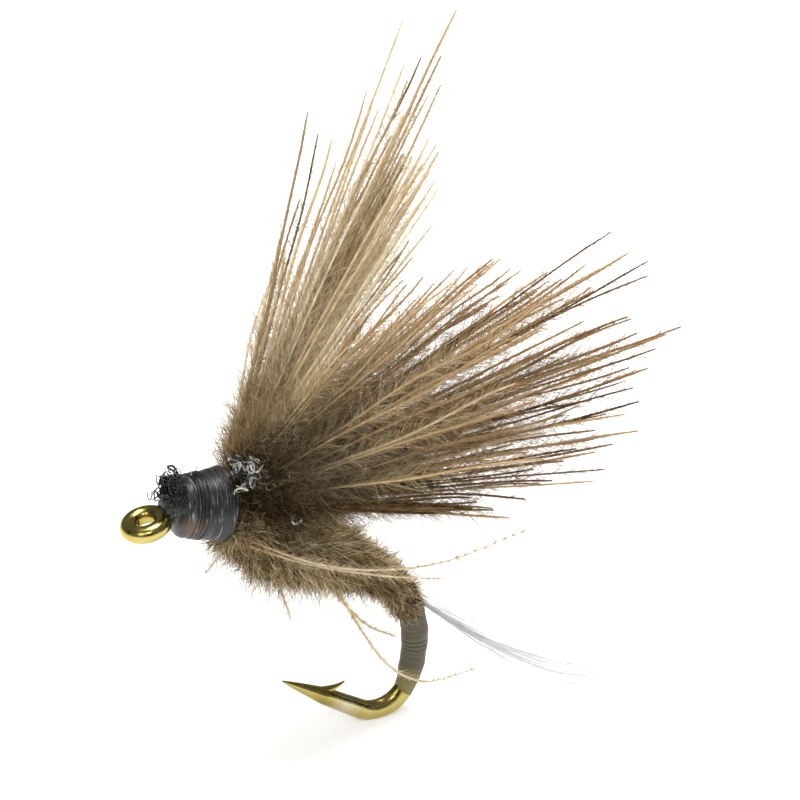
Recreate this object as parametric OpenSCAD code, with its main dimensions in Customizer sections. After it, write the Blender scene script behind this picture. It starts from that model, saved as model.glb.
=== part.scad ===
// Dry fly with upright divided fibre wings, tied on a barbed wire hook.
// Lengths are in mm. The origin is the centre of the hook eye, +Z is up,
// the eye points to -X, and the left wing is on -Y. The fly stands nose up
// on the bottom of its bend. Most modules draw along the shank: +X runs
// back along the shank, +Z is square to it, and in_fly() tips them up.

/* [Hook] */
// nose-up angle of the shank, degrees
shank_tilt = 31.2; // [0:0.2:45]
// diameter of the hook wire
wire_d = 0.57; // [0.3:0.01:0.8]
// radius of the eye ring, to the middle of its wire
eye_ring_r = 0.548; // [0.4:0.001:1]
// radius of the hole through the eye
eye_bore_r = 0.28; // [0.2:0.005:0.6]
// angle of the eye below the line of the shank, degrees
eye_drop = 44; // [0:1:60]
// height of the shank line over the centre of the eye
shank_h = 0.985; // [0.5:0.005:1.5]
// radius where the neck turns into the shank
neck_turn_r = 1.2; // [0.5:0.1:1.5]
// where the straight shank ends
shank_end = 8.1; // [6:0.1:14]
// radius of the upper part of the bend
bend_r1 = 3.67; // [2:0.01:5]
// sweep of the upper part of the bend, degrees
bend_sweep = 83; // [60:1:90]
// radius of the lower part of the bend
bend_r2 = 1.09; // [0.8:0.01:3]
// how far back from the eye the point ends
point_u = 7.4; // [6:0.02:9]
// length of the ground point
point_len = 1.75; // [1:0.05:3]
// how far the barb stands off the spear
barb_rise = 0.4; // [0.1:0.02:0.6]
// length of the barb
barb_len = 0.85; // [0.5:0.05:1.5]

/* [Thread] */
// thickness of the thread base on the shank
base_t = 0.07; // [0.03:0.01:0.2]
// thickness of the thread wrap on the bend
wrap_t = 0.12; // [0.05:0.01:0.3]
// length of the head
head_len = 1.6; // [1:0.05:2.5]
// radius of the head at its front
head_r1 = 0.95; // [0.6:0.01:1.2]
// radius of the head at its back
head_r2 = 1.21; // [0.8:0.01:1.5]
// angle between the head and the shank, degrees
head_tip = 20; // [0:1:30]
// thickness of the whip finish over the head
whip_t = 0.05; // [0.02:0.01:0.1]

/* [Body] */
// greatest radius of the thorax
thorax_r = 1.42; // [1:0.02:2]
// where the thorax starts
thorax_front = 2.62; // [2.5:0.02:3.5]
// where the thorax meets the abdomen
waist_u = 7.2; // [6:0.1:8]
// radius of the abdomen at the thorax
abdomen_r = 0.92; // [0.6:0.02:1.2]
// how far the abdomen follows the bend, degrees
abdomen_sweep = 40; // [0:1:50]

/* [Wings] */
// length of the longest wing barbs
wing_len = 16; // [8:0.1:18]
// radius of a barb at its root
barb_r = 0.05; // [0.03:0.005:0.1]
// how far a wing turns out from the line of the shank, degrees
wing_out = 63; // [40:1:90]
// how far a wing rises from the shank, degrees
wing_rise = 46; // [20:1:70]
// roll of a wing's fan about its own line, degrees
wing_roll = 12; // [0:1:30]
// half spread of a wing across its fan, degrees
fan_deg = 27; // [10:1:40]
// half spread of a wing in the other direction, degrees
fan_depth = 19; // [5:1:30]
// barbs modelled in each bundle
barbs = 13; // [6:1:20]

/* [Fibres] */
// radius of a leg fibre at its root
leg_r = 0.04; // [0.02:0.005:0.08]
// radius of the tail bundle at its root
tail_r = 0.17; // [0.05:0.01:0.3]

/* [Hidden] */
$fn = 48;
wire_r = wire_d / 2;
// the straight runs are a hair finer than the curves, and seat inside their ends
fine_r = wire_r - 0.004;
seat = 0.05;
neck_meet = shank_h / tan(eye_drop);
neck_cut = neck_turn_r * tan(eye_drop / 2);
neck_len = shank_h / sin(eye_drop) - neck_cut;
bend_u2 = shank_end + (bend_r1 - bend_r2) * sin(bend_sweep);
bend_w1 = shank_h - bend_r1;
bend_w2 = bend_w1 + (bend_r1 - bend_r2) * cos(bend_sweep);
spear_w = bend_w2 - bend_r2;
base_r = wire_r + base_t;
wrap_r = wire_r + wrap_t;
head_mid = [1.41, 0, 1.11];
wing_root = [2.5, 0.5, 2.0];
// the wing's own line, then level and upright directions square to it
wing_dir = [cos(wing_rise) * cos(wing_out), cos(wing_rise) * sin(wing_out), sin(wing_rise)];
wing_flat = [sin(wing_out), -cos(wing_out), 0];
wing_tall = cross(wing_flat, wing_dir);
wing_up = wing_tall * cos(wing_roll) - wing_flat * sin(wing_roll);
wing_fore = -wing_flat * cos(wing_roll) - wing_tall * sin(wing_roll);
tail_root = [10.66, 0, 0.52];

// ---- placing helpers ----

module in_fly() {
  rotate([0, shank_tilt, 0]) children();
}

// a ring section of radius big, from angle a0 over sweep, in the plane of the hook
module arc_at(u, w, big, a0, sweep) {
  translate([u, 0, w]) rotate([90, 0, 0]) rotate([0, 0, a0])
    rotate_extrude(angle = sweep, $fn = 96) translate([big, 0]) children();
}

module along(u0, u1, w, r) {
  translate([u0, 0, w]) rotate([0, 90, 0]) cylinder(r = r, h = u1 - u0);
}

// a point on the upper part of the bend, with a = 0 where the shank ends
function bend_point(a) = [shank_end + bend_r1 * sin(a), 0, bend_w1 + bend_r1 * cos(a)];

// a smooth curve through control points: position at t, from 0 to the last index
function at(p, i) = p[max(0, min(len(p) - 1, i))];
function spline(p, t) =
  let (i = min(floor(t), len(p) - 2), f = t - i)
  let (a = at(p, i - 1), b = at(p, i), c = at(p, i + 1), d = at(p, i + 2))
  0.5 * (2 * b + (c - a) * f + (2 * a - 5 * b + 4 * c - d) * f * f
         + (3 * b - a - 3 * c + d) * f * f * f);

// a tapered fibre along a smooth curve
module strand(p, r0, r1, steps = 8) {
  last = len(p) - 1;
  for (i = [0 : steps - 1])
    hull() {
      translate(spline(p, last * i / steps)) sphere(r0 + (r1 - r0) * i / steps, $fn = 5);
      translate(spline(p, last * (i + 1) / steps))
        sphere(r0 + (r1 - r0) * (i + 1) / steps, $fn = 5);
    }
}

// ---- hook ----

module eye_ring() {
  rotate([0, -eye_drop, 0])
    rotate_extrude($fn = 96) difference() {
      translate([eye_ring_r, 0]) circle(wire_r);
      translate([0, -wire_r]) square([eye_bore_r, wire_d]);
    }
}

module neck() {
  rotate([0, 90 - eye_drop, 0]) translate([0, 0, eye_ring_r])
    cylinder(r1 = wire_r * 0.9, r2 = fine_r, h = neck_len - eye_ring_r + seat);
  arc_at(neck_meet + neck_cut, shank_h - neck_turn_r, neck_turn_r, 90, eye_drop)
    circle(wire_r);
}

module lower_bend(r, a0, sweep) {
  arc_at(bend_u2, bend_w2, bend_r2, a0, sweep) circle(r);
}

module bend_and_spear() {
  arc_at(shank_end, bend_w1, bend_r1, 90 - bend_sweep, bend_sweep) circle(wire_r);
  lower_bend(fine_r, -90, 180 - bend_sweep + 2);
  along(point_u + point_len, bend_u2 + seat, spear_w, fine_r - 0.004);
  translate([point_u + point_len + seat, 0, spear_w]) rotate([0, -90, 0])
    cylinder(r1 = fine_r - 0.009, r2 = 0.012, h = point_len + seat);
}

// a sliver cut up from the inner side of the spear, pointing back
module barb() {
  u = point_u + point_len - 0.4;
  translate([u, 0.1, spear_w]) rotate([90, 0, 0])
    linear_extrude(0.2)
      polygon([[0, 0], [0.5, 0], [0.6, wire_r], [barb_len, wire_r + barb_rise],
               [barb_len - 0.08, wire_r + barb_rise], [0.28, wire_r + 0.02]]);
}

// the wire from the closed eye to the point
module hook() {
  color("darkgoldenrod") in_fly() {
    difference() {
      neck();
      eye_ring();
    }
    along(neck_meet + neck_cut - seat, shank_end + seat, shank_h, fine_r);
    bend_and_spear();
    barb();
  }
}

// the end of the same wire, bent into a closed ring
module hook_eye() {
  color("goldenrod") in_fly() eye_ring();
}

// ---- thread ----

module thread_base() {
  color("dimgray") in_fly() difference() {
    along(2.48, shank_end, shank_h, base_r);
    along(2, shank_end + 1, shank_h, fine_r);
  }
}

module upper_bend(r, a0, a1) {
  arc_at(shank_end, bend_w1, bend_r1, 90 - a1, a1 - a0) circle(r);
}

module bend_wrap() {
  color("dimgray") in_fly() difference() {
    union() {
      upper_bend(base_r, 0, abdomen_sweep + 2);
      upper_bend(wrap_r, abdomen_sweep + 1, 72);
      upper_bend(wrap_r - 0.05, 71, bend_sweep);
      lower_bend(wrap_r - 0.1, 74 - bend_sweep, 17);
    }
    upper_bend(wire_r, -2, bend_sweep);
    lower_bend(fine_r, -20, 110 - bend_sweep + 2);
  }
}

module head_cone(extra, from, to) {
  slope = (head_r2 - head_r1) / head_len;
  translate(head_mid) rotate([0, 90 - head_tip, 0])
    translate([0, 0, from - head_len / 2])
      cylinder(r1 = head_r1 + slope * from + extra, r2 = head_r1 + slope * to + extra,
               h = to - from);
}

module head_wraps() {
  color("slategray") in_fly() difference() {
    head_cone(0, 0, head_len);
    eye_ring();
    neck();
    along(neck_meet + neck_cut - seat, 4, shank_h, fine_r);
  }
}

module whip_finish() {
  color("darkslategray") in_fly() difference() {
    head_cone(whip_t, 0.3, 0.75);
    head_cone(0, 0, head_len);
  }
}

module thread_tag() {
  color("black") in_fly()
    strand([[0.76, 0, 1.98], [0.7, 0.02, 2.2], [0.6, 0, 2.45]], 0.03, 0.02, 3);
}

// ---- body ----

module thorax_dubbing() {
  n = waist_u - thorax_front;
  color("peru") in_fly() difference() {
    translate([0, 0, shank_h]) rotate([0, 90, 0]) rotate_extrude($fn = 96)
      polygon([[base_r, thorax_front], [thorax_r * 0.55, thorax_front],
               [thorax_r * 0.76, thorax_front + n * 0.13],
               [thorax_r * 0.92, thorax_front + n * 0.3],
               [thorax_r, thorax_front + n * 0.52],
               [thorax_r * 0.94, thorax_front + n * 0.74],
               [abdomen_r, waist_u], [base_r, waist_u]]);
    translate([thorax_front - 1, -2, shank_h + 0.5]) cube([1.85, 4, 3]);
  }
}

// a ring of points of radius r, square to the shank and bend, t of the way along
sides = 20;
abdomen_run = shank_end - waist_u;
abdomen_arc = bend_r1 * abdomen_sweep * PI / 180;
function abdomen_r_at(t) = abdomen_r - (abdomen_r - wrap_r) * pow(t, 1.9);
function abdomen_ring(t, r) =
  let (s = (abdomen_run + abdomen_arc) * t)
  let (a = max(0, (s - abdomen_run) / bend_r1 * 180 / PI))
  let (mid = s < abdomen_run ? [waist_u + s, 0, shank_h] : bend_point(a))
  [for (i = [0 : sides - 1])
    mid + r * [sin(a) * sin(360 * i / sides), cos(360 * i / sides),
               cos(a) * sin(360 * i / sides)]];

module abdomen_dubbing() {
  steps = 12;
  bore = (base_r + 0.004) / cos(180 / sides);
  skin = [for (k = [0 : steps]) each abdomen_ring(k / steps, abdomen_r_at(k / steps))];
  core = [for (k = [0 : steps]) each abdomen_ring(k / steps, bore)];
  c = len(skin);
  e = steps * sides;
  walls = [for (k = [0 : steps - 1], i = [0 : sides - 1])
    let (j = (i + 1) % sides, p = k * sides, q = p + sides) each
    [[p + i, q + i, q + j], [p + i, q + j, p + j],
     [c + p + i, c + p + j, c + q + j], [c + p + i, c + q + j, c + q + i]]];
  ends = [for (i = [0 : sides - 1])
    let (j = (i + 1) % sides) each
    [[i, j, c + j], [i, c + j, c + i],
     [e + j, e + i, c + e + i], [e + j, c + e + i, c + e + j]]];
  color("sienna") in_fly() polyhedron(concat(skin, core), concat(walls, ends));
}

// ---- wings ----

// one barb: a is its angle up the fan, b its angle forward, k its own number
module wing_barb(a, b, length, k) {
  d = wing_dir * cos(a) * cos(b) + wing_up * sin(a) + wing_fore * sin(b);
  start = wing_root + wing_up * a * 0.012 + wing_fore * b * 0.009;
  droop = -0.05 * length * wing_up * (0.4 + 0.6 * sin(k * 71));
  strand([start, start + d * length * 0.5 - droop * 0.6, start + d * length],
         barb_r, barb_r * 0.45, 4);
}

// the lowest barbs are the shortest
function reach(a) = 1 - 0.025 * max(0, -8 - a);

// the barbs from fan angle a0 to a1, lying together at the root
module barb_bundle(a0, a1, top_len, seed) {
  for (k = [0 : barbs - 1]) {
    t = k / (barbs - 1);
    a = a0 + (a1 - a0) * t;
    b = fan_depth * sin(k * 137.5 + seed) * cos(70 * a / fan_deg);
    wing_barb(a, b, top_len * reach(a) * (0.92 + 0.08 * sin(k * 211 + seed)), k + seed);
  }
  hull() {
    for (a = [a0, a1], b = [-4, 4]) {
      translate(wing_root + wing_up * a * 0.012 + wing_fore * b * 0.03) sphere(0.04, $fn = 6);
      translate(wing_root + wing_up * a * 0.03 + wing_fore * b * 0.06 + wing_dir * 2.2)
        sphere(0.06, $fn = 6);
    }
  }
}

module left_wing_dark_barbs() {
  color("saddlebrown") in_fly() mirror([0, 1, 0])
    render() barb_bundle(-fan_deg, -4, wing_len, 10);
}

module left_wing_tan_barbs() {
  color("burlywood") in_fly() mirror([0, 1, 0])
    render() barb_bundle(4, fan_deg, wing_len * 0.98, 35);
}

module right_wing_tan_barbs() {
  color("burlywood") in_fly()
    render() barb_bundle(-fan_deg, -4, wing_len * 0.92, 60);
}

module right_wing_pale_barbs() {
  color("wheat") in_fly()
    render() barb_bundle(4, fan_deg, wing_len * 0.94, 85);
}

// ---- trimmed butts ----

// short curled ends standing out of the thread
module curls(n, at0, lean, length, r, seed) {
  render() {
    for (k = [0 : n - 1]) {
      y = 0.34 * (2 * k / (n - 1) - 1);
      up = length * (0.7 + 0.3 * sin(k * 97 + seed));
      tipx = 0.2 * sin(k * 151 + seed);
      strand([at0 + [0, y * 0.7, 0], at0 + lean * up * 0.5 + [tipx, y, 0.05],
              at0 + lean * up + [-tipx, y * 1.2, 0]], r, r * 0.7, 4);
    }
    hull() {
      translate(at0 + [0, -0.26, 0]) sphere(r * 1.5, $fn = 6);
      translate(at0 + [0, 0.26, 0]) sphere(r * 1.5, $fn = 6);
      translate(at0 + lean * length * 0.2) sphere(r * 1.5, $fn = 6);
    }
  }
}

module rear_wing_butts() {
  color("gray") in_fly()
    curls(7, [2.2, 0, 2.5], [0.5, 0, 0.87], 1.2, 0.055, 20);
}

module front_trimmed_butts() {
  color("black") in_fly()
    curls(6, [0.26, 0, 1.55], [-0.8, 0, 0.2], 0.55, 0.045, 50);
}

// ---- legs and tail ----

// a leg's path: it leaves the fur to its side, runs back, and its tip curls up
function leg_path(root, run, splay, rise, curl) =
  [for (i = [0 : 4]) let (t = i / 4)
    root + [run * t, splay * sqrt(t), rise * t + curl * pow(t, 3)]];

// a tail fibre's path: it runs back, sinks a little, and its tip lifts
function tail_path(root, run, splay, dip, lift) =
  [for (i = [0 : 5]) let (t = i / 5)
    root + [run * t, splay * t, lift * pow(t, 3) - dip * sin(180 * t)]];

module leg(root, run, splay, rise, curl, tip = 0.45) {
  color("tan") in_fly() render()
    strand(leg_path(root, run, splay, rise, curl), leg_r, leg_r * tip, 9);
}

module leg_long_upper() {
  leg([2.75, -0.7, 0.8], 8, -2.5, 1, 3);
}

module leg_long_lower() {
  leg([2.8, -0.7, 0.6], 6.5, -1.7, 1, 0.5);
}

module leg_right_side() {
  leg([2.8, 0.7, 0.75], 6, 2, 1.5, 1);
}

module leg_trailing_left() {
  leg([7, -0.55, 0.25], 5, -2, -4, 3.5);
}

module leg_trailing_right() {
  leg([7.1, 0.35, 0.25], 4.5, 1, -2.5, 1);
}

module leg_short_belly() {
  leg([4.9, -0.45, -0.15], 1, -0.5, -1, 0);
}

module leg_short_throat() {
  leg([2.8, -0.3, 0.45], -0.3, -0.2, -1.2, 0);
}

// a handful of fibres from one root, spreading to the tip
module tail_bundle() {
  spread = 0.4;
  color("whitesmoke") in_fly() render()
    for (k = [0 : 4]) {
      side = [0, sin(72 * k), cos(72 * k)];
      path = tail_path(tail_root + side * tail_r * 0.6, 8.5 - 0.4 * k, -3.2, 0.5,
                       1.5 - 0.2 * k);
      strand([for (i = [0 : 5]) path[i] + side * spread * i / 5], tail_r * 0.55, 0.03, 10);
    }
}

module tail_upper_fibre() {
  color("white") in_fly() render()
    strand(tail_path([10.6, 0.16, 0.7], 4.7, -1, 0.2, 0.3), 0.045, 0.02, 8);
}

hook();
hook_eye();
thread_base();
bend_wrap();
tail_bundle();
tail_upper_fibre();
abdomen_dubbing();
thorax_dubbing();
left_wing_dark_barbs();
left_wing_tan_barbs();
right_wing_tan_barbs();
right_wing_pale_barbs();
leg_long_upper();
leg_long_lower();
leg_right_side();
leg_trailing_left();
leg_trailing_right();
leg_short_belly();
leg_short_throat();
rear_wing_butts();
front_trimmed_butts();
head_wraps();
whip_finish();
thread_tag();
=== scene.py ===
import math

import bpy
import numpy as np
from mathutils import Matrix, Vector

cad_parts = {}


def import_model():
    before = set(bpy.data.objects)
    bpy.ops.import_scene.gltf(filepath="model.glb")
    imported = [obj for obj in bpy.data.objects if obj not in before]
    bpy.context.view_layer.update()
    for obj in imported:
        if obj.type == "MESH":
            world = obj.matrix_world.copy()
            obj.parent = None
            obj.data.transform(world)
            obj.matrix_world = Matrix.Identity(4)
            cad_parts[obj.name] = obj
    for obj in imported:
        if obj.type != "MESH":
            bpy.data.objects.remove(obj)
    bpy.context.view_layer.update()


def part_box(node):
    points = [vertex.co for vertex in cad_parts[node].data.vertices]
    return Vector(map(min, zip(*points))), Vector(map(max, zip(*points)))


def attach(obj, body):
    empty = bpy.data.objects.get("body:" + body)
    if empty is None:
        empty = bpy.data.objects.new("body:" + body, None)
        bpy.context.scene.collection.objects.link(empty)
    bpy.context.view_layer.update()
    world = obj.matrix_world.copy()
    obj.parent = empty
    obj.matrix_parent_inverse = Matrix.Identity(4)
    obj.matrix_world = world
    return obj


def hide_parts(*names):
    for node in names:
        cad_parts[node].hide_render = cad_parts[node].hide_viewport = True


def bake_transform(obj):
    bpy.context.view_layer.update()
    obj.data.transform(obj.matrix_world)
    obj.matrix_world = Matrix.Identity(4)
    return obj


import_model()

# ---------------------------------------------------------------- frame of the hook
# Shapes are worked out in mm in the hook's own frame: x back along the shank,
# y to the right wing, z square to the shank. world() turns them into the part's
# frame, in metres.
TILT = math.radians(31.2)
WIRE_R = 0.285
SHANK_W = 0.985
SHANK_END = 8.1
BEND_R1 = 3.67
BEND_SWEEP = math.radians(83)
BEND_R2 = 1.09
EYE_R = 0.548
EYE_BORE = 0.28
EYE_DROP = math.radians(44)
NECK_TURN = 1.2
POINT_U = 7.4
POINT_LEN = 1.75
BEND_W1 = SHANK_W - BEND_R1
BEND_U2 = SHANK_END + (BEND_R1 - BEND_R2) * math.sin(BEND_SWEEP)
BEND_W2 = BEND_W1 + (BEND_R1 - BEND_R2) * math.cos(BEND_SWEEP)
SPEAR_W = BEND_W2 - BEND_R2
HEAD_MID = np.array([1.41, 0.0, 1.11])
HEAD_AXIS = np.array([math.cos(math.radians(20)), 0.0, math.sin(math.radians(20))])
HEAD_LEN = 1.6
Y = np.array([0.0, 1.0, 0.0])


def world(p):
    p = np.asarray(p, dtype=float)
    c, s = math.cos(TILT), math.sin(TILT)
    x, y, z = p[..., 0], p[..., 1], p[..., 2]
    return np.stack([x * c + z * s, y, z * c - x * s], axis=-1) * 0.001


def unit(v):
    return v / np.maximum(np.linalg.norm(v, axis=-1, keepdims=True), 1e-12)


def rows(*arrays):
    return np.stack(arrays, axis=-1)


DOWN = np.array([math.sin(TILT), 0.0, -math.cos(TILT)])


# ---------------------------------------------------------------- meshes
class Soup:
    """Closed shells gathered into one mesh, with two numbers at each point:
    tone, the same all along a fibre, and along, from 0 at its root to 1."""

    def __init__(self):
        self.v, self.f, self.tone, self.along, self.n = [], [], [], [], 0

    def add(self, v, faces, tone, along):
        v = v.reshape(-1, 3)
        self.v.append(v)
        self.tone.append(np.broadcast_to(tone, (len(v),)).astype(np.float32))
        self.along.append(np.broadcast_to(along, (len(v),)).astype(np.float32))
        self.f += [f.reshape(-1, f.shape[-1]) + self.n for f in faces]
        self.n += len(v)

    def build(self, name, material):
        me = bpy.data.meshes.new(name)
        v = world(np.concatenate(self.v))
        loops = np.concatenate([f.ravel() for f in self.f]).astype(np.int32)
        sizes = np.concatenate([np.full(len(f), f.shape[-1]) for f in self.f])
        me.vertices.add(len(v))
        me.vertices.foreach_set("co", v.astype(np.float32).ravel())
        me.loops.add(len(loops))
        me.loops.foreach_set("vertex_index", loops)
        me.polygons.add(len(sizes))
        me.polygons.foreach_set("loop_start", (np.cumsum(sizes) - sizes).astype(np.int32))
        me.polygons.foreach_set("use_smooth", np.ones(len(sizes), dtype=bool))
        for key, data in (("tone", self.tone), ("along", self.along)):
            me.attributes.new(key, "FLOAT", "POINT").data.foreach_set(
                "value", np.concatenate(data))
        me.update(calc_edges=True)
        me.validate()
        ob = bpy.data.objects.new(name, me)
        bpy.context.scene.collection.objects.link(ob)
        me.materials.append(material)
        return ob


def ring_faces(idx):
    """Quads between the rings of idx (..., rings, sides), and a cap at each end."""
    a, b = idx[..., :-1, :], idx[..., 1:, :]
    quads = np.stack([a, np.roll(a, -1, -1), np.roll(b, -1, -1), b], -1)
    return [quads, idx[..., 0, ::-1], idx[..., -1, :]]


def tubes(soup, paths, radii, tone, sides=5, along=None):
    """Tapered fibres: paths (n, steps, 3), radii (n, steps), tone (n,)."""
    n, steps, _ = paths.shape
    tan = unit(np.gradient(paths, axis=1))
    side = np.cross(tan[:, 0], np.where(np.abs(tan[:, 0, 1:2]) < 0.8, Y, DOWN))
    normal = np.empty_like(paths)
    for k in range(steps):
        side = unit(side - tan[:, k] * np.sum(side * tan[:, k], -1, keepdims=True))
        normal[:, k] = side
    other = np.cross(tan, normal)
    ang = 2 * np.pi * np.arange(sides) / sides
    rim = (normal[:, :, None] * np.cos(ang)[:, None]
           + other[:, :, None] * np.sin(ang)[:, None])
    v = paths[:, :, None] + rim * np.broadcast_to(radii, (n, steps))[:, :, None, None]
    idx = np.arange(n * steps * sides).reshape(n, steps, sides)
    t = np.linspace(0, 1, steps) if along is None else along
    t = np.broadcast_to(t, (n, steps))
    soup.add(v, ring_faces(idx), np.repeat(tone, steps * sides),
             np.repeat(t.reshape(-1), sides))


def sweep(soup, path, r_side, r_up, tone=0.5, sides=32, along=None):
    """A tube along a path in the plane of the hook, with its own half widths
    across the plane and in it; r_side and r_up may be (steps, sides)."""
    steps = len(path)
    tan = unit(np.gradient(path, axis=0))
    up = np.cross(Y, tan) * -1.0
    ang = 2 * np.pi * np.arange(sides) / sides
    a = np.broadcast_to(np.asarray(r_side).reshape(steps, -1), (steps, sides))
    b = np.broadcast_to(np.asarray(r_up).reshape(steps, -1), (steps, sides))
    v = (path[:, None] + Y * (a * np.cos(ang))[..., None]
         + up[:, None] * (b * np.sin(ang))[..., None])
    idx = np.arange(steps * sides).reshape(steps, sides)
    t = np.linspace(0, 1, steps) if along is None else along
    soup.add(v, ring_faces(idx[:, ::-1]), tone if np.ndim(tone) == 0 else tone.ravel(),
             np.repeat(t, sides))


def smooth_path(points, steps):
    """A Catmull-Rom curve through the points, as in the CAD source."""
    p = np.asarray(points, dtype=float)
    t = np.linspace(0, len(p) - 1, steps)
    i = np.minimum(t.astype(int), len(p) - 2)
    f = (t - i)[:, None]
    get = lambda k: p[np.clip(k, 0, len(p) - 1)]
    a, b, c, d = get(i - 1), get(i), get(i + 1), get(i + 2)
    return 0.5 * (2 * b + (c - a) * f + (2 * a - 5 * b + 4 * c - d) * f ** 2
                  + (3 * b - a - 3 * c + d) * f ** 3)


def wander(rng, n, steps, size):
    """Smooth random sideways offsets that start at nothing: (n, steps, 3)."""
    t = np.linspace(0, 1, steps)[None, :, None]
    f = rng.uniform(0.6, 2.2, (n, 1, 3))
    ph = rng.uniform(0, 2 * np.pi, (n, 1, 3))
    return size * (np.sin(2 * np.pi * f * t + ph) - np.sin(ph)) * t ** 0.7


# ---------------------------------------------------------------- materials
def new_material(name):
    m = bpy.data.materials.new(name)
    m.use_nodes = True
    m.node_tree.nodes.clear()
    return m, m.node_tree.nodes, m.node_tree.links


def node(nodes, kind, **values):
    n = nodes.new(kind)
    for k, v in values.items():
        if k in n.inputs:
            n.inputs[k].default_value = v
        else:
            setattr(n, k, v)
    return n


def ramp(nodes, stops):
    r = nodes.new("ShaderNodeValToRGB")
    e = r.color_ramp.elements
    while len(e) < len(stops):
        e.new(0.5)
    for k, (at, col) in enumerate(stops):
        e[k].position = at
        e[k].color = (*col, 1.0) if len(col) == 3 else col
    return r


def grey(v):
    return (v, v, v)


def fibre_material(name, stops, root_dark=0.5, translucent=0.35, rough=0.55,
                   shade=(0.0, 0.45), speckle=0.25, spec=0.12, tip=(1.0, 1.0, 1.0), warm=1.0):
    """A fibre's colour goes by its tone, darkens towards its root (partly the fibre's own darker
    base, partly painted shade of the fibre mass round the root) and varies finely.
    """
    m, nodes, links = new_material(name)
    out = node(nodes, "ShaderNodeOutputMaterial")
    tone = node(nodes, "ShaderNodeAttribute", attribute_name="tone")
    along = node(nodes, "ShaderNodeAttribute", attribute_name="along")
    colour = ramp(nodes, stops)
    links.new(tone.outputs["Fac"], colour.inputs["Fac"])
    # painted shade: the root end is darkened for the shade deep among the fibres, on top of their
    # own darker bases
    root = tuple(min(1.0, root_dark * (1 + warm * k)) for k in (0.15, -0.05, -0.38))
    dark = ramp(nodes, [(shade[0], root), (shade[1], grey(1.0)), (1.0, tip)])
    links.new(along.outputs["Fac"], dark.inputs["Fac"])
    coord = node(nodes, "ShaderNodeTexCoord")
    noise = node(nodes, "ShaderNodeTexNoise", Scale=5200.0, Detail=3.0)
    links.new(coord.outputs["Object"], noise.inputs["Vector"])
    fleck = ramp(nodes, [(0.3, grey(1.0 - speckle)), (0.7, grey(1.0))])
    links.new(noise.outputs["Fac"], fleck.inputs["Fac"])
    mul = node(nodes, "ShaderNodeMixRGB", blend_type="MULTIPLY", Fac=1.0)
    links.new(colour.outputs["Color"], mul.inputs["Color1"])
    links.new(dark.outputs["Color"], mul.inputs["Color2"])
    mul2 = node(nodes, "ShaderNodeMixRGB", blend_type="MULTIPLY", Fac=1.0)
    links.new(mul.outputs["Color"], mul2.inputs["Color1"])
    links.new(fleck.outputs["Color"], mul2.inputs["Color2"])
    bsdf = node(nodes, "ShaderNodeBsdfPrincipled")
    bsdf.inputs["Roughness"].default_value = rough
    bsdf.inputs["Specular IOR Level"].default_value = spec
    links.new(mul2.outputs["Color"], bsdf.inputs["Base Color"])
    if translucent > 0:
        back = node(nodes, "ShaderNodeBsdfTranslucent")
        links.new(mul2.outputs["Color"], back.inputs["Color"])
        mix = node(nodes, "ShaderNodeMixShader", Fac=translucent)
        links.new(bsdf.outputs["BSDF"], mix.inputs[1])
        links.new(back.outputs["BSDF"], mix.inputs[2])
        links.new(mix.outputs["Shader"], out.inputs["Surface"])
    else:
        links.new(bsdf.outputs["BSDF"], out.inputs["Surface"])
    return m


def metal_material(name, pale_patch_at, pale_patch_size):
    m, nodes, links = new_material(name)
    out = node(nodes, "ShaderNodeOutputMaterial")
    coord = node(nodes, "ShaderNodeTexCoord")
    broad = node(nodes, "ShaderNodeTexNoise", Scale=650.0, Detail=3.0)
    fine = node(nodes, "ShaderNodeTexNoise", Scale=6000.0, Detail=4.0)
    for n in (broad, fine):
        links.new(coord.outputs["Object"], n.inputs["Vector"])
    colour = ramp(nodes, [(0.3, (0.27, 0.215, 0.055)), (0.5, (0.47, 0.385, 0.105)),
                          (0.75, (0.50, 0.43, 0.17))])
    links.new(broad.outputs["Fac"], colour.inputs["Fac"])
    # a whitish patch between the barb and the bend, mixed into the gilt colour
    away = node(nodes, "ShaderNodeVectorMath", operation="DISTANCE")
    away.inputs[1].default_value = pale_patch_at
    links.new(coord.outputs["Object"], away.inputs[0])
    near = node(nodes, "ShaderNodeMath", operation="DIVIDE")
    near.inputs[1].default_value = pale_patch_size
    links.new(away.outputs["Value"], near.inputs[0])
    pale_patch = ramp(nodes, [(0.2, grey(0.55)), (1.0, grey(0.0))])
    links.new(near.outputs["Value"], pale_patch.inputs["Fac"])
    both = node(nodes, "ShaderNodeMixRGB", blend_type="MIX")
    both.inputs["Color2"].default_value = (0.66, 0.63, 0.54, 1.0)
    links.new(pale_patch.outputs["Color"], both.inputs["Fac"])
    links.new(colour.outputs["Color"], both.inputs["Color1"])
    rough = ramp(nodes, [(0.35, grey(0.17)), (0.7, grey(0.32))])
    links.new(fine.outputs["Fac"], rough.inputs["Fac"])
    bump = node(nodes, "ShaderNodeBump", Strength=0.10, Distance=0.00002)
    links.new(fine.outputs["Fac"], bump.inputs["Height"])
    bsdf = node(nodes, "ShaderNodeBsdfPrincipled")
    bsdf.inputs["Metallic"].default_value = 1.0
    links.new(both.outputs["Color"], bsdf.inputs["Base Color"])
    links.new(rough.outputs["Color"], bsdf.inputs["Roughness"])
    links.new(bump.outputs["Normal"], bsdf.inputs["Normal"])
    links.new(bsdf.outputs["BSDF"], out.inputs["Surface"])
    return m


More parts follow.
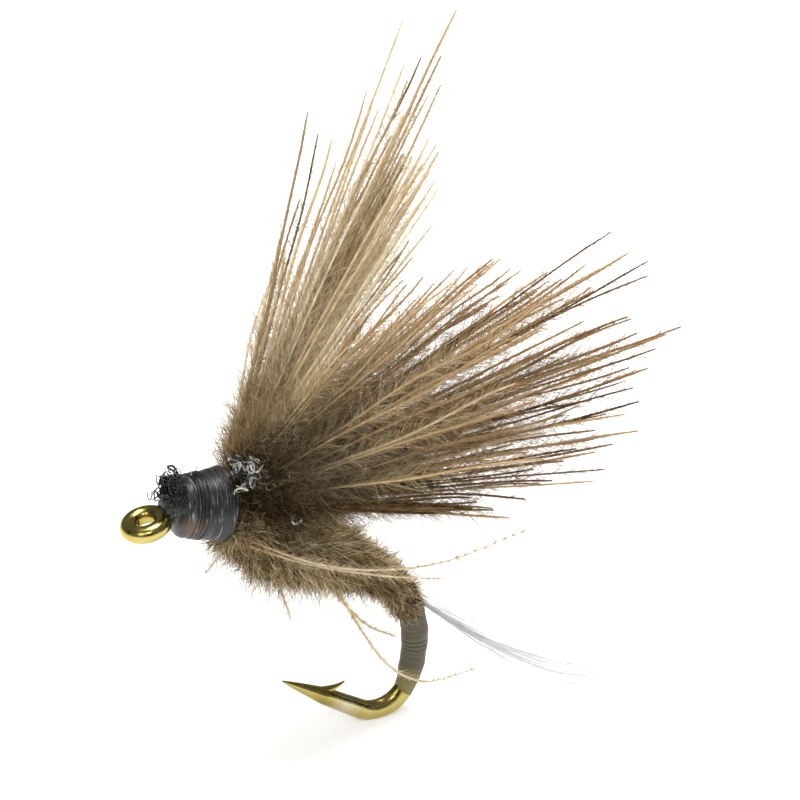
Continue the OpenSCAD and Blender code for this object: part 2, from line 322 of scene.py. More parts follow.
def thread_material(name, stops, rough, coat, patch=None, streak_scale=14.0, spec=0.5):
    """Wound thread. tone counts the turns across, along runs round the winding."""
    m, nodes, links = new_material(name)
    out = node(nodes, "ShaderNodeOutputMaterial")
    tone = node(nodes, "ShaderNodeAttribute", attribute_name="tone")
    along = node(nodes, "ShaderNodeAttribute", attribute_name="along")
    xyz = node(nodes, "ShaderNodeCombineXYZ")
    links.new(tone.outputs["Fac"], xyz.inputs["X"])
    links.new(along.outputs["Fac"], xyz.inputs["Y"])
    streak = node(nodes, "ShaderNodeTexNoise", Scale=streak_scale, Detail=5.0)
    links.new(xyz.outputs["Vector"], streak.inputs["Vector"])
    colour = ramp(nodes, stops)
    links.new(streak.outputs["Fac"], colour.inputs["Fac"])
    last = colour.outputs["Color"]
    coord = node(nodes, "ShaderNodeTexCoord")
    if patch:
        centre, radius, tint = patch
        shift = node(nodes, "ShaderNodeVectorMath", operation="DISTANCE")
        shift.inputs[1].default_value = centre
        links.new(coord.outputs["Object"], shift.inputs[0])
        edge = ramp(nodes, [(0.35, grey(0.75)), (1.0, grey(0.0))])
        scaled = node(nodes, "ShaderNodeMath", operation="DIVIDE")
        scaled.inputs[1].default_value = radius
        links.new(shift.outputs["Value"], scaled.inputs[0])
        links.new(scaled.outputs["Value"], edge.inputs["Fac"])
        mix = node(nodes, "ShaderNodeMixRGB", blend_type="MIX")
        mix.inputs["Color2"].default_value = (*tint, 1.0)
        links.new(edge.outputs["Color"], mix.inputs["Fac"])
        links.new(last, mix.inputs["Color1"])
        last = mix.outputs["Color"]
    fine = node(nodes, "ShaderNodeTexNoise", Scale=9000.0, Detail=3.0)
    links.new(coord.outputs["Object"], fine.inputs["Vector"])
    bump = node(nodes, "ShaderNodeBump", Strength=0.25, Distance=0.00002)
    links.new(fine.outputs["Fac"], bump.inputs["Height"])
    roughness = ramp(nodes, [(0.3, grey(rough * 0.75)), (0.7, grey(rough * 1.2))])
    links.new(streak.outputs["Fac"], roughness.inputs["Fac"])
    bsdf = node(nodes, "ShaderNodeBsdfPrincipled")
    bsdf.inputs["Specular IOR Level"].default_value = spec
    bsdf.inputs["Coat Weight"].default_value = coat
    bsdf.inputs["Coat Roughness"].default_value = 0.22
    links.new(last, bsdf.inputs["Base Color"])
    links.new(roughness.outputs["Color"], bsdf.inputs["Roughness"])
    links.new(bump.outputs["Normal"], bsdf.inputs["Normal"])
    links.new(bsdf.outputs["BSDF"], out.inputs["Surface"])
    return m


def plain_material(name, colour, glow=0.0):
    m, nodes, links = new_material(name)
    out = node(nodes, "ShaderNodeOutputMaterial")
    bsdf = node(nodes, "ShaderNodeBsdfPrincipled")
    bsdf.inputs["Base Color"].default_value = (*colour, 1.0)
    bsdf.inputs["Roughness"].default_value = 0.9
    bsdf.inputs["Specular IOR Level"].default_value = 0.0
    bsdf.inputs["Emission Color"].default_value = (1.0, 1.0, 1.0, 1.0)
    bsdf.inputs["Emission Strength"].default_value = glow
    links.new(bsdf.outputs["BSDF"], out.inputs["Surface"])
    return m


# ---------------------------------------------------------------- camera, floor, light
scene = bpy.context.scene
scene.view_settings.view_transform = "Standard"

AZIMUTH, ELEVATION = math.radians(-27), math.radians(28)
AIM = Vector((0.00873, 0.0, 0.00221))
DISTANCE, FIELD = 0.20, 0.0248
cam_data = bpy.data.cameras.new("camera")
camera = bpy.data.objects.new("camera", cam_data)
scene.collection.objects.link(camera)
towards = Vector((math.sin(AZIMUTH) * math.cos(ELEVATION),
                  -math.cos(AZIMUTH) * math.cos(ELEVATION), math.sin(ELEVATION)))
camera.location = AIM + towards * DISTANCE
camera.rotation_euler = towards.to_track_quat("Z", "Y").to_euler()
cam_data.sensor_width = 36.0
cam_data.lens = 36.0 * DISTANCE / FIELD
cam_data.clip_start = 0.001
cam_data.clip_end = 10.0
scene.camera = camera

FLOOR_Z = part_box("hook")[0][2]


def flat_card(name, centre, facing, size, material):
    me = bpy.data.meshes.new(name)
    h = size / 2
    me.from_pydata([(-h, -h, 0), (h, -h, 0), (h, h, 0), (-h, h, 0)], [], [(0, 1, 2, 3)])
    ob = bpy.data.objects.new(name, me)
    ob.location = centre
    ob.rotation_euler = Vector(facing).to_track_quat("Z", "Y").to_euler()
    me.materials.append(material)
    scene.collection.objects.link(ob)
    return ob


floor = flat_card("floor", (0, 0, FLOOR_Z), (0, 0, 1), 0.9,
                  plain_material("floor_white", grey(0.78), glow=0.35))
black = plain_material("card_black", grey(0.004))
for k, (centre, size) in enumerate([((-0.16, -0.34, 0.12), 0.22),
                                    ((0.36, -0.16, 0.10), 0.16),
                                    ((-0.30, 0.16, 0.16), 0.16)]):
    at = Vector(centre)
    card = flat_card(f"dark_card_{k}", at, AIM - at, size, black)
    card.visible_camera = card.visible_diffuse = False
    card.visible_shadow = card.visible_transmission = False

world_data = bpy.data.worlds.new("world")
scene.world = world_data
world_data.use_nodes = True
wn, wl = world_data.node_tree.nodes, world_data.node_tree.links
wn.clear()
w_out = node(wn, "ShaderNodeOutputWorld")
w_path = node(wn, "ShaderNodeLightPath")
w_seen = node(wn, "ShaderNodeBackground", Color=(1, 1, 1, 1), Strength=1.0)
w_soft = node(wn, "ShaderNodeBackground", Color=(1.0, 0.985, 0.965, 1), Strength=0.8)
w_dim = node(wn, "ShaderNodeBackground", Color=(1.0, 0.985, 0.97, 1), Strength=0.16)
w_gloss = node(wn, "ShaderNodeMixShader")
w_mix = node(wn, "ShaderNodeMixShader")
wl.new(w_path.outputs["Is Glossy Ray"], w_gloss.inputs["Fac"])
wl.new(w_soft.outputs["Background"], w_gloss.inputs[1])
wl.new(w_dim.outputs["Background"], w_gloss.inputs[2])
wl.new(w_path.outputs["Is Camera Ray"], w_mix.inputs["Fac"])
wl.new(w_gloss.outputs["Shader"], w_mix.inputs[1])
wl.new(w_seen.outputs["Background"], w_mix.inputs[2])
wl.new(w_mix.outputs["Shader"], w_out.inputs["Surface"])


def area_light(name, at, size, power, colour=(1, 1, 1)):
    data = bpy.data.lights.new(name, "AREA")
    data.size = size
    data.energy = power
    data.color = colour
    ob = bpy.data.objects.new(name, data)
    ob.location = at
    ob.rotation_euler = (Vector(at) - AIM).to_track_quat("Z", "Y").to_euler()
    scene.collection.objects.link(ob)
    return ob


area_light("key_softbox", (0.03, 0.02, 0.26), 0.14, 0.75)
area_light("front_softbox", tuple(AIM + Vector((-0.075, -0.125, 0.13))), 0.05, 0.045)
area_light("side_softbox", (-0.20, -0.12, 0.16), 0.10, 0.10)

# ---------------------------------------------------------------- hook
hook_metal = metal_material("hook_gilt_steel", tuple(world([9.95, -0.34, SPEAR_W - 0.05])),
                            0.00062)


def bend_arc(a0, a1, steps, big=BEND_R1, mid=(SHANK_END, BEND_W1)):
    """Points on the bend, from angle a0 to a1 after the end of the shank."""
    a = np.linspace(a0, a1, steps)
    return rows(mid[0] + big * np.sin(a), 0 * a, mid[1] + big * np.cos(a))


def straight(p, q, steps):
    t = np.linspace(0, 1, steps)[:, None]
    return np.asarray(p, float) * (1 - t) + np.asarray(q, float) * t


neck_meet = SHANK_W / math.tan(EYE_DROP)
neck_cut = NECK_TURN * math.tan(EYE_DROP / 2)
neck_a = np.linspace(-EYE_DROP, 0, 16)
neck_arc = rows(neck_meet + neck_cut + NECK_TURN * np.sin(neck_a), 0 * neck_a,
                SHANK_W - NECK_TURN + NECK_TURN * np.cos(neck_a))
eye_dir = np.array([math.cos(EYE_DROP), 0, math.sin(EYE_DROP)])
taper_u = POINT_U + POINT_LEN
wire = np.concatenate([
    straight(eye_dir * EYE_R, neck_arc[0], 10)[:-1], neck_arc[:-1],
    straight(neck_arc[-1], (SHANK_END, 0, SHANK_W), 24)[:-1],
    bend_arc(0, BEND_SWEEP, 64)[:-1],
    bend_arc(BEND_SWEEP, math.pi, 56, BEND_R2, (BEND_U2, BEND_W2))[:-1],
    straight((BEND_U2, 0, SPEAR_W), (taper_u, 0, SPEAR_W), 12)[:-1],
    straight((taper_u, 0, SPEAR_W), (POINT_U, 0, SPEAR_W), 40)])
left = np.clip((wire[:, 0] - POINT_U) / POINT_LEN, 0, 1)
on_point = (wire[:, 2] < SPEAR_W + 0.05) & (wire[:, 0] < taper_u)
wire_r = np.where(on_point, 0.012 + (WIRE_R - 0.012) * left ** 0.82, WIRE_R)
# the ground point keeps its outer side straighter than its inner side
wire[:, 2] += np.where(on_point, 0.03 * (1 - left) ** 1.5, 0)
# the bend is forged: deeper in its own plane, outwards
run = np.concatenate([np.cumsum(np.linalg.norm(np.diff(wire, axis=0), axis=1)[::-1])[::-1], [0]])
forged = np.interp(run, [1.7, 2.4, 3.3, 4.4, 5.4, 7.5, 10.0], [0, .02, .045, .055, .045, .03, 0])
tan = unit(np.gradient(wire, axis=0))
wire = wire - np.cross(Y, tan) * forged[:, None]
soup = Soup()
sweep(soup, wire, wire_r, wire_r + forged, sides=40)
ang = np.linspace(0, 2 * np.pi, 144, endpoint=False)
tube = np.linspace(0, 2 * np.pi, 48, endpoint=False)
ring_r = np.maximum(EYE_R + WIRE_R * np.cos(tube), EYE_BORE)
ring_z = WIRE_R * np.sin(tube)
ex = np.array([math.cos(EYE_DROP), 0, math.sin(EYE_DROP)])
ez = np.array([-math.sin(EYE_DROP), 0, math.cos(EYE_DROP)])
ring = ((ex * np.cos(ang)[:, None] + Y * np.sin(ang)[:, None])[:, None] * ring_r[:, None]
        + ez * ring_z[:, None])
idx = np.arange(ring.size // 3).reshape(len(ang), len(tube))
nxt = np.roll(idx, -1, 0)
quads = np.stack([idx, nxt, np.roll(nxt, -1, 1), np.roll(idx, -1, 1)], -1)
soup.add(ring, [quads], 0.5, 0.5)
blade = smooth_path([(8.95, 0, SPEAR_W + 0.10), (9.13, 0, SPEAR_W + 0.21),
                     (9.31, 0, SPEAR_W + 0.34), (9.47, 0, SPEAR_W + 0.49),
                     (9.60, 0, SPEAR_W + 0.67)], 24)
t = np.linspace(0, 1, 24)
sweep(soup, blade, 0.15 * (1 - t) + 0.03, 0.15 * (1 - t) ** 0.8 + 0.008, sides=20)
hook = soup.build("hook_wire", hook_metal)
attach(hook, "tied_hook")
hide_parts("hook", "hook_eye")

# ---------------------------------------------------------------- thread on shank and bend
bend_thread = thread_material(
    "olive_thread", [(0.28, (0.020, 0.016, 0.007)), (0.5, (0.068, 0.056, 0.028)),
                     (0.70, (0.17, 0.143, 0.085))], 0.55, 0.06,
    patch=(tuple(world([11.72, -0.20, -2.50])), 0.00105, (0.20, 0.165, 0.050)), streak_scale=3.0)


def wound(name, path, r, pitch, depth, material, seed, sides=40, lump=0.02, deep=0.0):
    """Thread wound along a path: a ridge to each turn, slightly uneven."""
    rng = np.random.default_rng(seed)
    run = np.concatenate([[0], np.cumsum(np.linalg.norm(np.diff(path, axis=0), axis=1))])
    phi = 2 * np.pi * np.arange(sides) / sides
    turn = run[:, None] / pitch + phi / (2 * np.pi)
    count = int(turn.max()) + 2
    size = rng.uniform(0.55, 1.0, count)
    k = turn.astype(int)
    f = turn - k
    ridge = depth * size[k] * np.sqrt(np.clip(1 - (2 * f - 1) ** 2, 0, 1))
    ph = rng.uniform(0, 6.28, 6)
    slow = lump * (np.sin(run[:, None] * 2.1 + ph[0] + phi) + 0.7 * np.sin(
        run[:, None] * 5.3 + ph[1] + 2 * phi) + 0.5 * np.sin(run[:, None] * 11 + ph[2] - phi))
    radius = np.asarray(r).reshape(-1, 1) + ridge + slow
    soup = Soup()
    tan = unit(np.gradient(path, axis=0))
    path = path - np.cross(Y, tan) * deep
    sweep(soup, path, radius, radius + deep, tone=turn * 0.37, sides=sides,
          along=np.zeros(len(path)))
    return soup.build(name, material)


shank_path = straight((2.48, 0, SHANK_W), (SHANK_END, 0, SHANK_W), 240)
shank_thread = wound("shank_thread", shank_path, 0.320, 0.11, 0.03, bend_thread, 3, 24, 0.004)
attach(shank_thread, "tied_hook")
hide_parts("thread_base")

wrap_path = np.concatenate([
    bend_arc(0.02, BEND_SWEEP, 470)[:-1],
    bend_arc(BEND_SWEEP, BEND_SWEEP + 0.22, 22, BEND_R2, (BEND_U2, BEND_W2))])
run = np.linspace(0, 1, len(wrap_path))
wrap_r = np.interp(run, [0, 0.3, 0.5, 0.72, 0.86, 0.95, 1.0],
                   [0.33, 0.37, 0.382, 0.370, 0.342, 0.300, 0.264])
bend_wrap = wound("bend_thread_wrap", wrap_path, wrap_r, 0.075, 0.022, bend_thread, 5,
                  40, 0.014, 0.045)
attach(bend_wrap, "tied_hook")
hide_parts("bend_wrap")

# ---------------------------------------------------------------- head
# the palest streaks of the charcoal thread are partly its own lighter strands and partly painted
# highlight on the winding
head_thread = thread_material(
    "charcoal_thread", [(0.25, (0.004, 0.004, 0.005)), (0.48, (0.012, 0.013, 0.014)),
                        (0.60, (0.028, 0.029, 0.031)), (0.70, (0.30, 0.29, 0.28))],
    0.44, 0.10, spec=0.38, patch=(tuple(world([1.05, -0.86, 0.58])), 0.00050, (0.10, 0.062, 0.036)),
    streak_scale=2.2)
h_x, h_z = HEAD_AXIS, np.array([-HEAD_AXIS[2], 0, HEAD_AXIS[0]])


def head_radius(s):
    """Radius of the head s mm back from its front rim."""
    return np.interp(s, [-0.46, -0.42, -0.30, -0.16, -0.07, -0.02, 0.05, 0.15, 0.5, 1.0,
                         1.45, 1.58, 1.64, 1.68],
                     [0.29, 0.34, 0.42, 0.53, 0.62, 0.74, 0.89, 0.95, 0.99, 1.09, 1.19, 1.16,
                      1.02, 0.78])


def wound_head():
    rng = np.random.default_rng(11)
    sides, pitch = 220, 0.080
    s = np.linspace(-0.46, 1.68, 260)
    phi = 2 * np.pi * np.arange(sides) / sides
    # turns lean and cross a little instead of lying in perfect rings
    lean = 0.07 * np.sin(phi + 0.8) + 0.03 * np.sin(2 * phi + 2.0) + 0.015 * np.sin(5 * phi)
    turn = (s[:, None] + lean) / pitch + phi / (2 * np.pi) + 8
    k = turn.astype(int)
    f = turn - k
    size = rng.uniform(0.1, 1.0, 60)[k]
    ridge = 0.014 * size * np.sqrt(np.clip(1 - (2 * f - 1) ** 2, 0, 1))
    cross = (s[:, None] * 0.75 - lean * 3.0 - phi / (2 * np.pi) * 0.5) / 0.31
    cross = 0.030 * np.clip(np.cos(2 * np.pi * cross), 0.6, 1) - 0.018
    lump = (0.018 * np.sin(3 * phi + 1.3 + 2 * s[:, None])
            + 0.012 * np.sin(5 * phi - 3.1 * s[:, None]))
    edge = np.interp(s, [-0.46, -0.3, 1.6, 1.68], [0.2, 1, 1, 0.2])[:, None]
    r = head_radius(s)[:, None] + (ridge + cross + lump - 0.02) * edge
    mid = HEAD_MID + h_x * (s[:, None, None] - HEAD_LEN / 2)
    v = (mid + Y * (r * np.cos(phi))[..., None] + h_z * (r * np.sin(phi))[..., None])
    idx = np.arange(len(s) * sides).reshape(len(s), sides)
    soup = Soup()
    around = np.sin(phi) * 0.8 + np.cos(phi) * 0.3
    soup.add(v, ring_faces(idx), (turn * 0.9).ravel(),
             np.broadcast_to(around, turn.shape).ravel())
    return soup.build("head_thread_winding", head_thread)


head = wound_head()
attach(head, "tied_hook")
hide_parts("head_wraps")


def head_points(s, phi, lift):
    r = head_radius(s) + lift
    return (HEAD_MID + h_x * (s - HEAD_LEN / 2)[..., None] + Y * (r * np.cos(phi))[..., None]
            + h_z * (r * np.sin(phi))[..., None])


soup = Soup()
a = np.linspace(0, 2 * np.pi * 4.0, 520)
knot = head_points(0.34 + 0.44 * a / a[-1] + 0.05 * np.sin(a + 1.0) + 0.02 * np.sin(0.37 * a),
                   a, 0.008)
tubes(soup, knot[None], np.full((1, 520), 0.034), np.array([0.6]), sides=8,
      along=(a * 0.4)[None])
whip = soup.build("whip_finish_turns", head_thread)
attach(whip, "tied_hook")
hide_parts("whip_finish")

# ---------------------------------------------------------------- body fur
BROWN = [(0.0, (0.022, 0.013, 0.005)), (0.3, (0.150, 0.096, 0.039)),
         (0.55, (0.46, 0.328, 0.155)), (0.8, (0.80, 0.635, 0.365)), (1.0, (0.99, 0.88, 0.63))]
# the hairs darken far towards their roots and the underlayer is dark brown: partly the fur's own
# darker base, partly painted shade in the gaps between the hairs
fur = fibre_material("dubbed_fur", BROWN, root_dark=0.11, translucent=0.40, shade=(0.0, 0.55),
                     spec=0.0)
fur_core = fibre_material("fur_underlayer",
                          [(0.0, (0.020, 0.013, 0.006)), (1.0, (0.16, 0.108, 0.050))],
                          root_dark=1.0, translucent=0.0, rough=0.85, speckle=0.6, spec=0.0)
BODY_FRONT = 2.45
FUR_SWEEP = 40  # how far the fur follows the bend, degrees
FELT = 0.63  # the felted underlayer, as a part of the outline
STRAIGHT = SHANK_END - BODY_FRONT
BODY_LEN = STRAIGHT + BEND_R1 * math.radians(FUR_SWEEP)


def fur_radius(s):
    """A slow taper to the rear, with the swell of the thorax on it."""
    swell = (s - 2.3) / np.where(s < 2.3, 1.3, 2.4)
    return 0.82 - 0.048 * s + 0.60 * np.exp(-swell ** 2)


def body_frame(s):
    """Middle, backward and upward directions of the body s mm from its front."""
    a = np.clip((s - STRAIGHT) / BEND_R1, 0, None)
    up = rows(np.sin(a), 0 * a, np.cos(a))
    mid = rows(np.where(s < STRAIGHT, BODY_FRONT + s, SHANK_END + BEND_R1 * np.sin(a)),
               0 * s, np.where(s < STRAIGHT, SHANK_W, BEND_W1 + BEND_R1 * np.cos(a)))
    return mid, rows(np.cos(a), 0 * a, -np.sin(a)), up


def body_lumps(s, phi):
    return (0.05 * np.sin(2.3 * s + 2 * phi + 0.5) + 0.04 * np.sin(4.1 * s - 3 * phi + 1.7)
            + 0.025 * np.sin(7.7 * s + 5 * phi) + 0.015 * np.sin(15 * s - 7 * phi + 2))


def own_body(piece, replaced):
    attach(piece, "tied_hook")
    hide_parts(replaced)


def fur_under(name, s0, s1, replaced):
    """The dense felted fur that the loose hairs stand out of."""
    s = np.linspace(s0, s1, 110)
    phi = 2 * np.pi * np.arange(90) / 90
    mid, back, up = body_frame(s)
    rough = 0.03 * np.sin(31 * s[:, None] + 9 * phi) + 0.03 * np.sin(23 * s[:, None] - 13 * phi)
    r = fur_radius(s)[:, None] * (FELT + body_lumps(s[:, None], phi) + rough)
    r[0] *= 0.35
    r[-1] *= 0.6
    v = (mid[:, None] + Y * (r * np.cos(phi))[..., None]
         + up[:, None] * (r * np.sin(phi))[..., None])
    soup = Soup()
    idx = np.arange(v.size // 3).reshape(len(s), len(phi))
    soup.add(v, ring_faces(idx), 0.45 + 0.5 * np.sin(9 * s[:, None] + 4 * phi).ravel(), 1.0)
    own_body(soup.build(name, fur_core), replaced)


# where the abdomen's fur is thin and dark
BARE_S, BARE_PHI = 6.5, math.radians(205)
LOCKS = 4096


def fur_hairs(name, s0, s1, hairs, seed, replaced):
    """Matted hairs in small locks, then longer loose ones, then stragglers."""
    rng = np.random.default_rng(seed)
    locks = rng.normal(0, 1, (LOCKS, 3))
    lock_tone = rng.normal(0, 1, LOCKS)
    soup = Soup()
    for count, low, high, stand, thick in ((hairs, 0.28, 0.70, 0.16, 0.0105),
                                           (hairs // 3, 0.45, 0.95, 0.34, 0.0085),
                                           (hairs // 16, 0.8, 1.6, 0.8, 0.0075)):
        s = rng.uniform(s0, s1, count)
        phi = rng.uniform(0, 2 * np.pi, count)
        lock = ((s + 0.06 * rng.normal(0, 1, count)) / 0.24).astype(int) * 29 + (
            (phi + 0.08 * rng.normal(0, 1, count)) / 0.34).astype(int)
        lock = np.abs(lock * 7919 + 13) % LOCKS
        mid, back, up = body_frame(s)
        out = Y * np.cos(phi)[:, None] + up * np.sin(phi)[:, None]
        outline = fur_radius(s)
        root = mid + out * (outline * (FELT + body_lumps(s, phi)
                                   + rng.uniform(0, 0.12, count)))[:, None]
        side = np.cross(back, out)
        d = unit(back * 0.27 + out * stand * rng.uniform(0.2, 1.3, (count, 1))
                 + side * rng.normal(0, 0.6, (count, 1)) + locks[lock] * 0.40
                 + rng.normal(0, 0.75, (count, 3)))
        # none starts inwards
        inwards = np.sum(d * out, -1, keepdims=True)
        d = unit(d + out * np.clip(0.12 - inwards, 0, None))
        length = rng.uniform(low, high, count) * np.minimum(1.0, 0.30 + 0.62 * outline)
        length *= np.interp(s, [3.5, 5.5, 7.0, BODY_LEN], [1.0, 0.9, 0.85, 0.6])
        steps = 4
        t = np.linspace(0, 1, steps)[None, :, None]
        curl = unit(back * 0.4 + rng.normal(0, 0.9, (count, 3)) + DOWN * 0.30)
        paths = (root[:, None] + d[:, None] * t * length[:, None, None]
                 + curl[:, None] * t ** 2 * (0.75 * length)[:, None, None]
                 + wander(rng, count, steps, 0.06))
        patch = 0.12 * np.sin(1.9 * s + 1.3 * np.sin(phi) + 2) + 0.22 * lock_tone[lock]
        bare = np.exp(-((s - BARE_S) / 0.42) ** 2 - ((phi - BARE_PHI) / 0.5) ** 2)
        tone = rng.beta(1.0, 0.80, count) + patch + 0.10 * (length > 0.8)
        tone = np.clip(tone * (1 - 0.65 * bare), 0, 1)
        radii = thick * rng.uniform(0.65, 1.35, (count, 1)) * np.array([1, 0.95, 0.75, 0.3])
        tubes(soup, paths, radii, tone, sides=3)
    own_body(soup.build(name, fur), replaced)


fur_under("thorax_fur_underlayer", 0.0, 4.9, "thorax_dubbing")
fur_under("abdomen_fur_underlayer", 4.7, BODY_LEN, "abdomen_dubbing")
fur_hairs("thorax_fur_front", 0.0, 1.6, 7000, 21, "thorax_dubbing")
fur_hairs("thorax_fur_middle", 1.6, 3.2, 7000, 22, "thorax_dubbing")
fur_hairs("thorax_fur_rear", 3.2, 4.8, 6800, 23, "thorax_dubbing")
fur_hairs("abdomen_fur_front", 4.7, 6.5, 6500, 24, "abdomen_dubbing")
fur_hairs("abdomen_fur_rear", 6.5, BODY_LEN, 5200, 25, "abdomen_dubbing")

# ---------------------------------------------------------------- wings
MIRROR = np.array([1.0, -1.0, 1.0])
GOLDEN = 0.618034  # spreads a row of values evenly, in no order
BARB_STEPS = 18
WING_ROOT = np.array([2.5, 0.5, 2.0])
WING_OUT, WING_RISE, WING_ROLL = (math.radians(v) for v in (63, 46, 12))
WING_DIR = np.array([math.cos(WING_RISE) * math.cos(WING_OUT),
                     math.cos(WING_RISE) * math.sin(WING_OUT), math.sin(WING_RISE)])
WING_FLAT = np.array([math.sin(WING_OUT), -math.cos(WING_OUT), 0.0])
WING_TALL = np.cross(WING_FLAT, WING_DIR)
WING_UP = WING_TALL * math.cos(WING_ROLL) - WING_FLAT * math.sin(WING_ROLL)
WING_FORE = -WING_FLAT * math.cos(WING_ROLL) - WING_TALL * math.sin(WING_ROLL)


def near_reach(a):
    """Barbs are longest a little above the middle of the fan."""
    return 13.5 - 0.011 * (a - 6) ** 2


def far_reach(b):
    """Barbs shorten slowly one way and fast the other."""
    return 15 - np.where(b > -1, 0.07, 0.007) * (b + 1) ** 2


def stray_barbs(rng, count, low, high, reach):
    """A few long barbs that stand out from their bundle: angles, length and tone."""
    a = rng.uniform(low, high, count)
    b = rng.normal(-4, 5, count)
    return a, b, reach(a, b) * rng.uniform(1.02, 1.2, count), rng.uniform(0.2, 0.8, count)


def clumped(rng, values, width):
    """Barbs lie in loose clumps of two to four."""
    centre = values[(np.arange(len(values)) // 3) * 3]
    mix = np.where(rng.random(len(values)) < 0.65, 0.72, 0.0)
    return values * (1 - mix) + centre * mix + rng.normal(0, width, len(values))


def barb_set(rng, side, a, b, length):
    """Paths, roots and directions of barbs at angle a up the fan and b forward, all in degrees."""
    root, axis, up, fore = (side * v for v in (WING_ROOT, WING_DIR, WING_UP, WING_FORE))
    count = len(a)
    ra, rb = np.radians(a)[:, None], np.radians(b)[:, None]
    d = unit(axis * np.cos(ra) * np.cos(rb) + up * np.sin(ra) + fore * np.sin(rb))
    start = (root + up * (a * 0.020)[:, None] + fore * (b * 0.014)[:, None]
             + rng.normal(0, 0.05, (count, 3)))
    t = np.linspace(0, 1, BARB_STEPS)[None, :, None]
    sag = unit(DOWN * 0.8 + rng.normal(0, 0.7, (count, 3)))
    paths = (start[:, None] + d[:, None] * t * length[:, None, None]
             + sag[:, None] * (t ** 2 - 0.7 * t) * length[:, None, None]
             * rng.uniform(0.005, 0.055, (count, 1, 1)) + wander(rng, count, BARB_STEPS, 0.08))
    return paths, start, d


def wing_piece(name, side, a, b, length, tone, material, rng, replaced, slot, body,
               thick, density, fluff=900):
    """Some barbs of a wing, each with fine barbules along it, and fluff at the tie-in."""
    count, steps = len(a), BARB_STEPS
    paths, start, d = barb_set(rng, side, a, b, length)
    soup = Soup()
    radii = rng.uniform(*thick, (count, 1)) * np.interp(
        np.linspace(0, 1, steps), [0, 0.15, 0.6, 0.95, 1], [1.1, 1.0, 0.95, 0.82, 0.50])
    tubes(soup, paths, radii, tone, sides=5)

    # barbules
    owner = np.repeat(np.arange(count), (length * density).astype(int))
    m = len(owner)
    at = rng.random(m) ** 1.3 * 0.99
    pos = at * (steps - 1)
    i = np.minimum(pos.astype(int), steps - 2)
    f = (pos - i)[:, None]
    base = paths[owner, i] * (1 - f) + paths[owner, i + 1] * f
    tan = unit(paths[owner, i + 1] - paths[owner, i])
    out = rng.normal(0, 1, (m, 3))
    out = unit(out - tan * np.sum(out * tan, -1, keepdims=True))
    bd = unit(tan + out * rng.uniform(0.3, 1.5, (m, 1)))
    bl = rng.uniform(0.45, 1.15, m) * np.interp(at, [0, 0.3, 0.6, 0.85, 1],
                                                [1.3, 1.2, 1.0, 0.78, 0.60])
    u = np.linspace(0, 1, 3)[None, :, None]
    hooked = unit(tan * 0.6 + rng.normal(0, 0.8, (m, 3)))
    hair = (base[:, None] + bd[:, None] * u * bl[:, None, None]
            + hooked[:, None] * u ** 2 * (0.28 * bl)[:, None, None])
    hr = (rng.uniform(0.0042, 0.0080, m) * np.interp(at, [0, 0.5, 1], [1.15, 1.05, 0.92]))[:, None]
    tubes(soup, hair, hr * np.array([1, 0.8, 0.3]),
          np.clip(tone[owner] + rng.normal(0.10, 0.13, m), 0, 1), sides=3,
          along=at[:, None] * np.ones((1, 3)))

    # fluff round the tie-in
    which = rng.integers(0, count, fluff)
    k = 0.03 + rng.random(fluff) ** 1.2 * 0.23
    base = (start[which] + d[which] * (k * length[which])[:, None]
            + rng.normal(0, 0.06, (fluff, 3)))
    fd = unit(d[which] * 0.8 + rng.normal(0, 0.55, (fluff, 3)))
    fl = rng.uniform(0.5, 1.5, fluff)
    u = np.linspace(0, 1, 6)[None, :, None]
    fluffy = (base[:, None] + fd[:, None] * u * fl[:, None, None]
              + wander(rng, fluff, 6, 0.16))
    fr = rng.uniform(0.005, 0.010, (fluff, 1)) * np.array([1, 1, 0.9, 0.75, 0.55, 0.25])
    # a third of it is pale even at the tie-in
    pale = rng.random(fluff) < 0.33
    tubes(soup, fluffy, fr, np.clip(tone[which] + rng.normal(0.05, 0.2, fluff) + 0.1 * pale, 0, 1),
          sides=3, along=np.where(pale, 0.3, k * 0.8)[:, None] * np.ones((1, 6)))
    own_wing(soup.build(name, material), replaced)


def own_wing(piece, replaced):
    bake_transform(piece)
    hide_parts(replaced)


FEATHER = [(0.0, (0.045, 0.024, 0.009)), (0.3, (0.195, 0.118, 0.046)),
           (0.55, (0.52, 0.370, 0.190)), (0.8, (0.80, 0.630, 0.375)), (1.0, (0.94, 0.82, 0.58))]
# the near wing darkens about half way along each barb: partly the barbs' own dark bases, partly
# painted shade cast by the barbs above
near_mat = fibre_material("near_wing_feather", FEATHER, root_dark=0.135, translucent=0.45,
                          shade=(0.05, 0.48), tip=(0.96, 0.905, 0.895), spec=0.05)
PALE_FEATHER = [(0.0, (0.070, 0.042, 0.018)), (0.3, (0.26, 0.170, 0.078)),
                (0.55, (0.58, 0.435, 0.250)), (0.8, (0.86, 0.71, 0.46)), (1.0, (0.96, 0.87, 0.67))]
far_mat = fibre_material("far_wing_feather", PALE_FEATHER, root_dark=0.50, translucent=0.50,
                         shade=(0.02, 0.36), spec=0.05)


def near_wing(name, low, high, count, tones, seed, replaced, slot, strays=0):
    rng = np.random.default_rng(seed)
    a = clumped(rng, np.linspace(low, high, count), 0.7)
    b = clumped(rng, -16 + 25 * ((np.arange(count) * GOLDEN) % 1), 1.0)
    length = near_reach(a) * rng.uniform(0.80, 1.03, count)
    length *= np.where(rng.random(count) < 0.12, 0.72, 1.0)
    tone = np.clip(rng.normal(tones[0], tones[1], count), 0, 1)
    extra = stray_barbs(rng, strays, low, high, lambda a, b: near_reach(a))
    bundle = [np.append(own, more) for own, more in zip((a, b, length, tone), extra)]
    wing_piece(name, MIRROR, *bundle, near_mat, rng, replaced, slot, "left_wing",
               (0.034, 0.050), 28.0)


